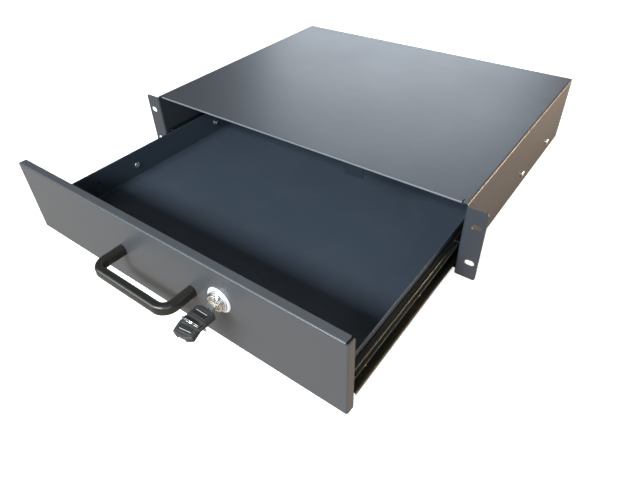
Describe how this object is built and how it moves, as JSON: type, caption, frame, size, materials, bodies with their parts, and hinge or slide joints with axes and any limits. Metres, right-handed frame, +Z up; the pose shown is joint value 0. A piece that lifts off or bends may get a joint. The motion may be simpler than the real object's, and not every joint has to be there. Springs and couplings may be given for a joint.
{
  "type": "sliding rack drawer",
  "caption": "Lockable drawer that slides on ball-bearing rails in a folded steel case with rack ears, a bow handle, a cam lock and keys on a ring.",
  "frame": {"origin": "centre of the four rack slots, on the rear face of the ears", "axes": "+X to the drawer's right seen from the front, +Y back into the rack, +Z up"},
  "size_m": [0.4826, 0.5892, 0.0885],
  "materials": {
    "powder_coat": "satin",
    "panel_coat": "satin",
    "dark_zinc": "satin",
    "bright_zinc": "polished",
    "polished_chrome": "polished",
    "steel_ball": "polished",
    "black_handle": "satin",
    "black_plastic": "satin",
    "black_rubber": "matte",
    "key_steel": "polished"
  },
  "bodies": {
    "case": {"case_shell": "powder_coat", "back_panel": "powder_coat", "lock_strike": "powder_coat", "left_case_rail": "dark_zinc", "right_case_rail": "dark_zinc", "slide_bumpers": "black_rubber", "case_screws": "bright_zinc"},
    "drawer": {"tray": "powder_coat", "tray_front": "powder_coat", "tray_back": "powder_coat", "front_panel": "panel_coat", "left_drawer_rail": "dark_zinc", "right_drawer_rail": "dark_zinc", "tray_screws": "bright_zinc", "panel_studs": "bright_zinc", "panel_nuts": "bright_zinc", "handle": "black_handle", "handle_screws": "bright_zinc", "lock_body": "polished_chrome", "lock_bezel": "polished_chrome", "lock_nut": "bright_zinc"},
    "left_cage": {"left_ball_retainer": "bright_zinc", "left_balls": "steel_ball"},
    "right_cage": {"right_ball_retainer": "bright_zinc", "right_balls": "steel_ball"},
    "plug": {"lock_plug": "polished_chrome", "lock_cam": "bright_zinc", "cam_screw": "bright_zinc"},
    "key": {"key_blade": "key_steel"},
    "key_head": {"key_bow": "black_plastic", "key_pin": "key_steel"},
    "ring": {"key_ring": "key_steel"},
    "spare_key": {"spare_key_bow": "black_plastic", "spare_key_pin": "key_steel", "spare_key_blade": "key_steel"}
  },
  "joints": [
    {"name": "drawer_slide", "type": "slide", "parent": "case", "child": "drawer", "axis": [0, -1, 0], "range_m": [-0.189, 0.036]},
    {"name": "left_cage_slide", "type": "slide", "parent": "case", "child": "left_cage", "axis": [0, -1, 0], "range_m": [-0.0945, 0.018]},
    {"name": "right_cage_slide", "type": "slide", "parent": "case", "child": "right_cage", "axis": [0, -1, 0], "range_m": [-0.0945, 0.018]},
    {"name": "lock_turn", "type": "hinge", "parent": "drawer", "child": "plug", "pos_m": [0.086, -0.1996, 0.0095], "axis": [0, -1, 0], "range_deg": [0, 90]},
    {"name": "key_pull", "type": "slide", "parent": "plug", "child": "key", "axis": [0, -1, 0], "range_m": [0, 0.02]},
    {"name": "key_fold", "type": "hinge", "parent": "key", "child": "key_head", "pos_m": [0.086, -0.215, 0.0073], "axis": [1, 0, 0], "range_deg": [0, 40]},
    {"name": "ring_turn", "type": "hinge", "parent": "key_head", "child": "ring", "pos_m": [0.0831, -0.22753, 0.00283], "axis": [0, -0.866, -0.5], "continuous": true},
    {"name": "spare_swing", "type": "hinge", "parent": "key_head", "child": "spare_key", "pos_m": [0.07185, -0.22613, 0.0004], "axis": [1, 0, 0], "range_deg": [-5, 18]}
  ],
  "couplings": [
    {"joint": "left_cage_slide", "follows": "drawer_slide", "ratio": 0.5},
    {"joint": "right_cage_slide", "follows": "drawer_slide", "ratio": 0.5}
  ]
}
